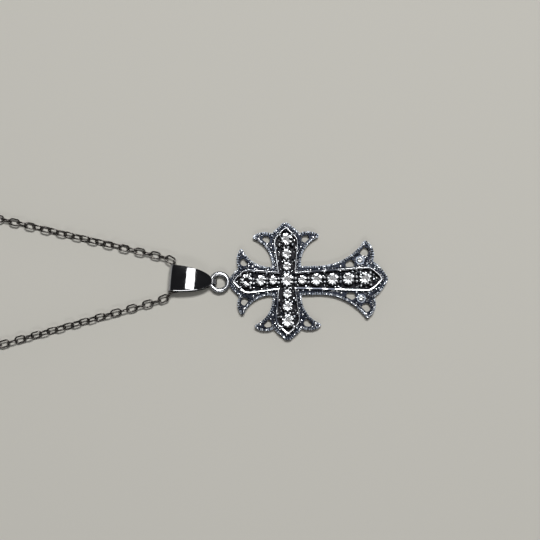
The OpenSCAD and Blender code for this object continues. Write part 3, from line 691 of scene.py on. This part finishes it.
def side_route(side, s):
    """Points on one side of the route (1 is the viewer's right), at lengths s from where the bends meet."""
    radius = TURN_R[side]
    way = STRAND_FROM[side] + s - TURN_ARC[side]
    neck = (way - STRAND_TO) / NECK_R - STRAND_ANGLE
    stretches = ((TURN_AT, radius * np.sin(s / radius), radius * (1 - np.cos(s / radius))),
                 (LINES_AT, way * math.sin(STRAND_ANGLE), way * math.cos(STRAND_ANGLE)),
                 (NECK_C, NECK_R * np.cos(neck), NECK_R * np.sin(neck)))
    places = [(at[0] + side * across, at[1] + along) for at, across, along in stretches]
    in_bail, on_strand = s < TURN_ARC[side], way < STRAND_TO
    return [np.where(in_bail, bend, np.where(on_strand, strand, arc_of_neck))
            for bend, strand, arc_of_neck in zip(*places)]


def joints(s):
    """Points where links meet, at the lengths s from the chain's middle.

    Near the bail they rise by three times the squared share of the way less twice its cube.
    """
    way = s - MIDDLE_OFF
    right, left = side_route(1, np.abs(way)), side_route(-1, np.abs(way))
    x, y = (np.where(way < 0, b, a) for a, b in zip(right, left))
    least = np.minimum(lean(s - LINK_PITCH / 2), lean(s + LINK_PITCH / 2))
    laid = (LINK_W - WIRE) / 2 * np.cos(least) + WIRE / 2
    lifted = BAIL_T + BAIL_PLAY + LINK_W / 2
    share = np.clip((np.abs(way) - BAIL_W / 2 - LINK_W / 2) / (2 * LINK_PITCH), 0, 1)
    z = lifted + (laid - lifted) * share * share * (3 - 2 * share)
    return np.stack((x, y, z), 1)


def add_chain(name, first, end):
    """Links of round wire carried round an oval, each between two joints and leaned about their line."""
    index = np.arange(first, end)
    start = (index - LINK_COUNT / 2) * LINK_PITCH
    a, b = joints(start), joints(start + LINK_PITCH)
    along = (b - a) / np.linalg.norm(b - a, axis=1)[:, None]
    flat = np.cross((0, 0, 1), along)
    flat /= np.linalg.norm(flat, axis=1)[:, None]
    up = np.cross(along, flat)
    roll = lean(start + LINK_PITCH / 2) + np.pi / 2 * (index % 2)
    side = flat * np.cos(roll)[:, None] + up * np.sin(roll)[:, None]
    normal = np.cross(along, side)
    turn = 2 * np.pi * (np.arange(LINK_STEPS) + 0.5) / LINK_STEPS
    sides = -2 * np.pi * np.arange(WIRE_SIDES) / WIRE_SIDES
    wire_r = WIRE / 2 + PLATING
    radius = (LINK_W - WIRE) / 2 + wire_r * np.cos(sides)[None]
    oval_u = radius * np.cos(turn)[:, None] + np.sign(np.cos(turn))[:, None] * (LINK_L - LINK_W) / 2
    oval_v = radius * np.sin(turn)[:, None]
    oval_n = 0 * turn[:, None] + wire_r * np.sin(sides)[None]
    local = np.stack((oval_u, oval_v, oval_n), -1).reshape(-1, 3)
    axes = np.stack((along, side, normal), 1)
    points = ((a + b) / 2)[:, None] + np.einsum("pk,lkc->lpc", local, axes)
    faces = repeated(grid_faces(LINK_STEPS, WIRE_SIDES, True, True), len(index), len(local))
    new_piece(name + "_links", points.reshape(-1, 3), faces, CHAIN, [name])


# Rail of the cross, as points of its cap's profile: each is an inset from the bed's edge and a height
RAIL_FOOT_Z = 0.7
RAIL_CREST = ((-0.01, 1.64), (0.0, 1.72), (0.02, 1.76), (0.05, 1.782), (0.09, 1.788))
RAIL_BEVEL = ((0.2, 1.767), (0.32, 1.742), (0.41, 1.718))
RAIL_INSIDE = ((0.44, 1.69), (0.45, 1.6))
RAIL_WAVE = 0.004  # height of each of the bevel's waves
WAVE_COUNTS = (29, 47, 67)  # waves round the whole rail
# Stretches where the rail's plating is worn, as a lower and an upper corner in plan
RAIL_WORN = (((-3.4, -11.6), (0, -2.0)), ((0, -12.8), (3.4, -5.8)), ((-10.4, 0), (-3.4, 3.4)))
WORN_LEFT = 0.36  # mean plating left on them
WORN_WAVE = 0.22  # how far it rises and falls
WORN_COUNT = 31  # waves of it round the whole rail


def set_wear(piece, values):
    """Plating left at each point of a piece, from none at 0 to whole at 1, for the finishes that read it."""
    wear = piece.data.attributes.new("wear", "FLOAT", "POINT")
    wear.data.foreach_set("value", values)


def add_rail():
    """Cap over the rail, carried round the bed's edge.

    Its bevel rises and falls by a sum of sines of the way round, and its worn plating by one more.
    """
    path = closed_path(half_bed, 0)
    steps = np.hypot(*(np.roll(path, -1, 0) - path).T)
    way = 2 * np.pi * np.cumsum(steps) / steps.sum()
    wave = RAIL_WAVE * sum(np.sin(count * way + count) for count in WAVE_COUNTS)
    outer_foot, inner_foot = (RAIL_CREST[0][0], RAIL_FOOT_Z), (RAIL_INSIDE[-1][0], RAIL_FOOT_Z)
    profile = (outer_foot, *RAIL_CREST, *RAIL_BEVEL, *RAIL_INSIDE, inner_foot)
    share = np.interp([inset for inset, z in profile], (RAIL_CREST[-1][0], RAIL_BEVEL[-1][0]), (0, 1))
    rows = [np.column_stack((closed_path(half_bed, inset), z + part * wave))
            for (inset, z), part in zip(profile, share)]
    faces = grid_faces(len(rows), len(rows[0]), True, True)
    worn = np.any([((path > low) & (path < high)).all(1) for low, high in RAIL_WORN], 0)
    plating = np.where(worn, WORN_LEFT + WORN_WAVE * np.sin(WORN_COUNT * way), 1)
    piece = new_piece("bright_rail", np.concatenate(rows), faces.tolist(), RAIL)
    set_wear(piece, np.tile(plating, len(rows)))


# Grain and large beads
BEAD_FLAT = 0.65
EDGE_ROW = 0.245  # inset of the row on the rim
SECOND_ROW = 0.74  # and of the row inside it
EDGE_GRAIN_R = 0.27
FIELD_GRAIN_R = 0.24
FIELD_GRAIN_Z = PLATE_Z + 0.1
GRAIN_PITCH = 0.58
RAIL_ROW_PITCH = 0.92 * GRAIN_PITCH
RAIL_ROW_GAP = 0.04  # between the rail and the row beside it
FIELD_PITCH = 0.94 * GRAIN_PITCH
GRAIN_NEAR = 0.44  # loose grain comes no nearer to other grain than this
GAP_CLEAR = 0.8 * FIELD_GRAIN_R  # least distance from the middle of a grain to a pierced gap
RIM_CLEAR = 0.1  # and to the rim
RAIL_CLEAR = 0.3  # and to the bed
FLARE_STONE_CLEAR = 1.1  # and to the middle of a flare's stone
LARGE_BEAD_CLEAR = 0.6  # and to the middle of a large bead
LARGE_BEAD_Z = PLATE_Z + 0.16
TIP_BEAD_R = 0.46
RAIL_BEAD_R = 0.4
BED_GRAIN_R = 0.3
BED_GRAIN_Z = BED_Z + 0.2
BED_GRAIN_PITCH = 0.72
BED_GRAIN_PLAY = 0.2
BED_GRAIN_SEED = 5
BED_GRAIN_IN = 0.66  # how far inside the bed's edge its grain starts
NET_SHORT, NET_FOOT = 14.5, 24.5  # reach of a net past the short arms and the foot
NET_ROWS = 0.866  # distance between its rows, as a share of its step


def staggered_net(step):
    """Points over the whole cross in rows of equal steps, every second row moved on by half a step."""
    u, v = np.meshgrid(np.arange(-NET_SHORT, NET_SHORT, step),
                       np.arange(-NET_FOOT, NET_SHORT, step * NET_ROWS))
    u[1::2] += step / 2
    return np.stack((u.ravel(), v.ravel()), 1)


def both_sides(u, v):
    """A place on an arm and its mirror image."""
    return np.array(((u, v), (u, -v)))


def far_apart(points, others, distance):
    """True for each point that lies further than the distance from all the others."""
    gaps = np.hypot(points[:, None, 0] - others[None, :, 0], points[:, None, 1] - others[None, :, 1])
    return gaps.min(1) > distance


def large_beads():
    """Places of the large beads: one at each flare's tip and one beside the rail below each flare."""
    tips = [turned(both_sides(*arm.bead), turn) for turn, arm in ARMS]
    rails = [turned(both_sides(*arm.rail_bead), turn) for turn, arm in ARMS]
    return np.concatenate(tips), np.concatenate(rails)


def add_beads(name, row, z, radius, spread, slope, finish):
    """Flattened beads, varied in height, radius, slope and wear by a fixed seed. Grain is cut in facets."""
    rng = np.random.default_rng(len(row))
    heights = z + radius * spread * rng.uniform(-1, 1, len(row))
    radii = radius * (1 + spread * rng.uniform(-1, 1, len(row)))
    slopes = slope * rng.uniform(-1, 1, (len(row), 1, 2))
    points, faces = beads(np.column_stack((row, heights)), radii, BEAD_FLAT, slopes)
    piece = new_piece(name, points, faces, finish, smooth=finish is not GRAIN)
    set_wear(piece, np.repeat(rng.uniform(0, 1, len(row)), len(points) // len(row)))


def add_grain():
    """Milled grain: rows on the rim, inside it and beside the rail, and loose grain in the flares.

    It keeps clear of the gaps, of the flares' stones and of the large beads.
    """
    tips, rails = large_beads()
    large = np.concatenate((tips, rails))
    flare_stones = turned(both_sides(*FLARE_STONE), FOOT_TURN)
    edge_row = spaced(closed_path(half_outline, EDGE_ROW), GRAIN_PITCH)
    rail_row = spaced(closed_path(half_bed, -(FIELD_GRAIN_R + RAIL_ROW_GAP)), RAIL_ROW_PITCH)
    second = spaced(closed_path(half_outline, SECOND_ROW), GRAIN_PITCH)
    inner = []
    for loose in (rail_row, second, staggered_net(FIELD_PITCH)):
        edge, bed, gap = plan_fields(loose)
        if loose is rail_row:
            loose = loose[(edge > RIM_W) & (gap > GAP_CLEAR)]
        else:
            loose = loose[(edge > RIM_W + RIM_CLEAR) & (bed < -RAIL_CLEAR) & (gap > GAP_CLEAR)]
            loose = loose[far_apart(loose, np.concatenate([edge_row] + inner), GRAIN_NEAR)]
        clear = far_apart(loose, flare_stones, FLARE_STONE_CLEAR) & far_apart(loose, large, LARGE_BEAD_CLEAR)
        inner.append(loose[clear])
    inner = np.concatenate(inner)
    add_beads("edge_grain", edge_row, RIM_Z, EDGE_GRAIN_R, spread=0.1, slope=0.3, finish=GRAIN)
    add_beads("inner_grain", inner, FIELD_GRAIN_Z, FIELD_GRAIN_R, spread=0.15, slope=0.55, finish=GRAIN)
    add_beads("tip_beads", tips, LARGE_BEAD_Z, TIP_BEAD_R, spread=0, slope=0.1, finish=BRIGHT)
    add_beads("rail_beads", rails, LARGE_BEAD_Z, RAIL_BEAD_R, spread=0, slope=0.1, finish=BRIGHT)


def add_bed_grain():
    """Loose grain on the bed's floor, clear of rail and stones, on a staggered net with some play."""
    net = staggered_net(BED_GRAIN_PITCH)
    net += BED_GRAIN_PLAY * np.random.default_rng(BED_GRAIN_SEED).uniform(-1, 1, net.shape)
    stones = [(0, 0, CENTRE_D)]
    for turn, arm in ARMS:
        for way, width in arm.stones:
            stones.append((*turned(np.array(((way, 0),)), turn)[0], width))
    x, y, width = np.array(stones).T
    clear = np.hypot(net[:, None, 0] - x, net[:, None, 1] - y) - width / 2
    net = net[(plan_fields(net)[1] > BED_GRAIN_IN) & (clear.min(1) > BED_GRAIN_R)]
    add_beads("bed_grain", net, BED_GRAIN_Z, BED_GRAIN_R, spread=0.2, slope=0.35, finish=GRAIN)


# Prongs, cusps and the ring at the top
PRONG_R = 0.42
PRONG_HEAD_Z = 1.87
PRONG_D = 0.5
STONE_PLAY = 0.07
END_PRONG_TURNS = (math.radians(48), math.radians(125))  # round the end stone, from the arm's tip
CUSP_R = 0.4
CUSP_IN = 0.45  # from the bed's edge to the middle of a cusp
CUSP_Z = 1.5
EYE_R = 2.025  # of the ring's middle line
EYE_WIRE_R = 0.59
EYE_Z = 1.125
EYE_STEPS = 64
EYE_SIDES = 20


def add_prong_heads():
    """Bright round heads on the prongs, and cusps on the rail.

    Two prongs stand between neighbouring stones, as near the row's line as both stones allow, and four round
    each end stone.
    """
    heads, cusps = [], []
    for turn, arm in ARMS:
        row = ((0, CENTRE_D),) + arm.stones
        spots = []
        for (u1, d1), (u2, d2) in zip(row, row[1:]):
            u = (u1 + d1 / 2 + u2 - d2 / 2) / 2
            clear = [math.sqrt(max(0, (d / 2 + STONE_PLAY + PRONG_D / 2) ** 2 - way ** 2))
                     for d, way in ((d1, u - u1), (d2, u2 - u))]
            spots.append((u, max(PRONG_D, *clear)))
            if u1 > 0:
                cusps.append(turned(both_sides(u, ARM_W / 2 - BAND_W + arm.taper * u - CUSP_IN), turn))
        last_u, last_d = row[-1]
        out = last_d / 2 + STONE_PLAY + PRONG_D / 2
        spots += [(last_u + out * math.cos(angle), out * math.sin(angle)) for angle in END_PRONG_TURNS]
        spots = np.array(spots)
        heads.append(turned(np.concatenate((spots, spots * (1, -1))), turn))
    for name, places, z, radius in (("prong_heads", heads, PRONG_HEAD_Z, PRONG_R),
                                    ("rail_cusps", cusps, CUSP_Z, CUSP_R)):
        places = np.concatenate(places)
        centres = np.column_stack((places, np.full(len(places), z)))
        points, faces = beads(centres, np.full(len(places), radius))
        new_piece(name, points, faces, BRIGHT)


def add_eye():
    """Polished skin of the ring at the top: a small circle carried round a larger one."""
    turn = 2 * np.pi * np.arange(EYE_STEPS)[:, None] / EYE_STEPS
    round_wire = -2 * np.pi * np.arange(EYE_SIDES)[None] / EYE_SIDES
    radius = EYE_R + EYE_WIRE_R * np.cos(round_wire)
    points = np.stack((radius * np.cos(turn), EYE_Y + radius * np.sin(turn),
                       EYE_Z + EYE_WIRE_R * np.sin(round_wire) + 0 * turn), -1)
    faces = grid_faces(EYE_STEPS, EYE_SIDES, True, True)
    new_piece("eye_ring", points.reshape(-1, 3), faces.tolist(), RING)


# Floor, lights and world
FLOOR_REACH = 1500
FLOOR_GAP = 0.03
FLOOR_COLOUR = (0.595, 0.58, 0.528, 1)
FLOOR_ROUGHNESS = 0.9
PALE_TO, DARK_FROM = 0.2, 0.45  # z of the directions between which the world darkens
PALE_WORLD = (0.5, 0.5, 0.5, 1)
DARK_WORLD = (0.02, 0.02, 0.022, 1)


def add_floor():
    """Plain pale floor just under the part."""
    size, z = FLOOR_REACH * MM, cad_low.z - FLOOR_GAP * MM
    mesh = bpy.data.meshes.new("floor")
    corners = [(-size, -size, z), (size, -size, z), (size, size, z), (-size, size, z)]
    mesh.from_pydata(corners, [], [(0, 1, 2, 3)])
    floor = bpy.data.objects.new("floor", mesh)
    bpy.context.scene.collection.objects.link(floor)
    material = bpy.data.materials.new("floor")
    material.use_nodes = True
    shader = material.node_tree.nodes["Principled BSDF"]
    shader.inputs["Base Color"].default_value = FLOOR_COLOUR
    shader.inputs["Roughness"].default_value = FLOOR_ROUGHNESS
    mesh.materials.append(material)


def add_panel(name, toward, distance, size, radiance, across, target=(0, 5, 0)):
    """Soft panel light that faces the target along the direction toward, its first side along across.

    Its distance and size are in metres. Its power is pi times its two sides times its radiance.
    """
    data = bpy.data.lights.new(name, "AREA")
    data.shape = "RECTANGLE"
    data.size, data.size_y = size
    data.energy = math.pi * size[0] * size[1] * radiance
    lamp = bpy.data.objects.new(name, data)
    bpy.context.scene.collection.objects.link(lamp)
    back = Vector(toward).normalized()
    lamp.location = Vector(target) * MM + back * distance
    side = (Vector(across) - back * back.dot(Vector(across))).normalized()
    lamp.rotation_mode = "QUATERNION"
    lamp.rotation_quaternion = Matrix((side, back.cross(side), back)).transposed().to_quaternion()


def add_world():
    """Dim surroundings: nearly dark overhead and pale towards the horizon."""
    world = bpy.data.worlds.new("studio")
    world.use_nodes = True
    tree = world.node_tree
    height = z_of(tree, "Generated")
    share = node_of(tree, "ShaderNodeMapRange", From_Min=PALE_TO, From_Max=DARK_FROM)
    tree.links.new(height, share.inputs["Value"])
    tone = tree.nodes.new("ShaderNodeValToRGB")
    tone.color_ramp.elements[0].color = PALE_WORLD
    tone.color_ramp.elements[1].color = DARK_WORLD
    tree.links.new(share.outputs["Result"], tone.inputs["Fac"])
    tree.links.new(tone.outputs["Color"], tree.nodes["Background"].inputs["Color"])
    bpy.context.scene.world = world


add_bail()
add_chain("chain_left", 0, LEFT_LINKS)
add_chain("chain_right", LEFT_LINKS, LINK_COUNT)
add_rail()
add_grain()
add_bed_grain()
add_prong_heads()
add_eye()
for name, node in nodes.items():
    if name.startswith("stone_flare"):
        finish = FLARE_STONE_FINISH
    elif name.startswith("stone"):
        finish = ROW_STONE
    else:
        finish = CAST if name == "cross" else CLASP
    node.material_slots[0].material = finish
add_floor()
add_world()
add_panel("window", toward=(0.113, -0.099, 0.986), distance=0.6, size=(0.136, 0.1), radiance=5.0,
          across=(math.cos(BAIL_SWING), -math.sin(BAIL_SWING), 0), target=(2, 23, 2))
add_panel("key", toward=(0.375, -0.1, 0.92), distance=1.0, size=(0.36, 0.14), radiance=44.0, across=(0, 1, 0))
add_panel("fill", toward=(-0.69, 0, 0.72), distance=1.2, size=(0.7, 0.14), radiance=5.0, across=(0, 1, 0))
bpy.context.scene.view_settings.view_transform = "Standard"
